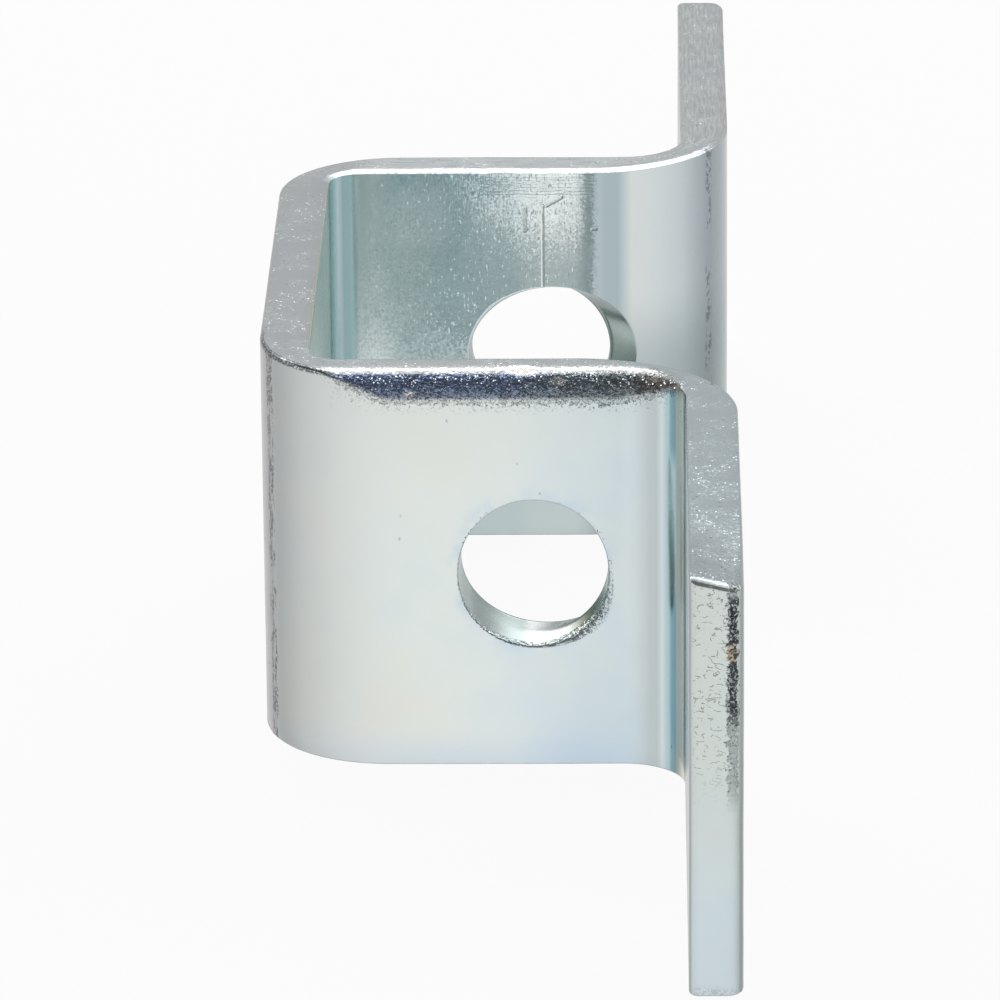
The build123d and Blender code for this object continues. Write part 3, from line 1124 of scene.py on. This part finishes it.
def studio_floor():
    """Matt white sweep under the bracket, shown white, with the bracket's soft shadow kept."""
    material = bpy.data.materials.new("studio_floor")
    node = cleared(material)
    ray = node("LightPath")
    paper = node("BsdfDiffuse", {"Color": PAPER})
    glow = node("Emission", {"Color": GLOW, "Strength": 1.0})
    seen = ray.outputs["Is Camera Ray"]
    for other in ("Is Glossy Ray", "Is Transmission Ray"):
        seen = node("Math", {0: seen, 1: ray.outputs[other]}, operation="MAXIMUM").outputs[0]
    share = node("Math", {0: seen, 1: SHOWN_WHITE}, operation="MULTIPLY")
    both = node("MixShader", {0: share.outputs[0], 1: paper.outputs[0], 2: glow.outputs[0]})
    node("OutputMaterial", {"Surface": both.outputs[0]})
    return material


floor_mesh = bpy.data.meshes.new("floor")
sheet = bmesh.new()
bmesh.ops.create_grid(sheet, x_segments=1, y_segments=1, size=FLOOR_HALF)
sheet.to_mesh(floor_mesh)
sheet.free()
floor = bpy.data.objects.new("floor", floor_mesh)
floor.location.z = -FLOOR_DROP
floor.visible_glossy = False
floor_mesh.materials.append(studio_floor())
scene.collection.objects.link(floor)


def studio_world():
    """A white studio: table all round below, dark room in front above, pale wall behind.

    The camera sees plain white.
    """
    world = bpy.data.worlds.new("studio")
    node = cleared(world)
    ray = node("LightPath")
    toward = node("TexCoord").outputs["Generated"]
    axes = node("SeparateXYZ", {"Vector": toward})
    front = node("Math", {0: axes.outputs["Y"], 1: -1.0}, operation="MULTIPLY").outputs[0]
    over = node("Math", {0: axes.outputs["Z"], 1: front}, operation="ARCTAN2").outputs[0]
    ramps = []
    for value, start, end, stops in (
        (front, -1.0, 1.0, TABLE_LIGHT), (over, 0.0, math.pi, ROOM_LIGHT),
    ):
        share = node("MapRange", {"Value": value, "From Min": start, "From Max": end})
        ramp = node("ValToRGB", {"Fac": share.outputs["Result"]})
        ramps.append(set_ramp(ramp, greys(stops)))
    above = node("MapRange", {"Value": axes.outputs["Z"], "From Min": -0.14, "From Max": 0.06},
                interpolation_type="SMOOTHSTEP")
    light = node("Mix", {"Factor": above.outputs["Result"], 6: ramps[0], 7: ramps[1]},
                data_type="RGBA")
    studio = node("Background", {"Color": light.outputs[2], "Strength": 1.0})
    white = node("Background", {"Color": GLOW, "Strength": 1.0})
    both = node("MixShader", {
        0: ray.outputs["Is Camera Ray"], 1: studio.outputs[0], 2: white.outputs[0],
    })
    node("OutputWorld", {"Surface": both.outputs[0]})
    return world


scene.world = studio_world()

LAMP_AT, LAMP_AIM = Vector((0.0, 0.39, 0.48)), Vector((0.0, 0.0, 0.02))

lamp = bpy.data.lights.new("overhead_box", "AREA")
lamp.shape = "RECTANGLE"
lamp.size, lamp.size_y = 1.2, 0.2
lamp.energy = 1.4
box = bpy.data.objects.new("overhead_box", lamp)
box.location = LAMP_AT
box.rotation_euler = (LAMP_AIM - LAMP_AT).to_track_quat("-Z", "Y").to_euler()
scene.collection.objects.link(box)


# -------- camera

CAMERA_AT = (0.01368, -0.75605, 0.28565)
PITCH, YAW, ROLL = (math.radians(angle) for angle in (19.71, -1.06, 0.52))
SENSOR_WIDTH = 36.0
LENS_PER_WIDTH = 7.99714  # the lens's focal length in sensor widths

forward = Vector((
    math.sin(YAW) * math.cos(PITCH), math.cos(YAW) * math.cos(PITCH), -math.sin(PITCH),
))
level_right = Vector((math.cos(YAW), -math.sin(YAW), 0))
down = forward.cross(level_right)
right = math.cos(ROLL) * level_right + math.sin(ROLL) * down
upward = math.sin(ROLL) * level_right - math.cos(ROLL) * down

lens = bpy.data.cameras.new("camera")
lens.sensor_width = SENSOR_WIDTH
lens.lens = SENSOR_WIDTH * LENS_PER_WIDTH
lens.clip_start, lens.clip_end = 0.01, 20.0
camera = bpy.data.objects.new("camera", lens)
camera.matrix_world = Matrix((
    *((*row, place) for *row, place in zip(right, upward, -forward, CAMERA_AT)),
    (0, 0, 0, 1),
))
scene.collection.objects.link(camera)
scene.camera = camera

scene.view_settings.view_transform = "Standard"
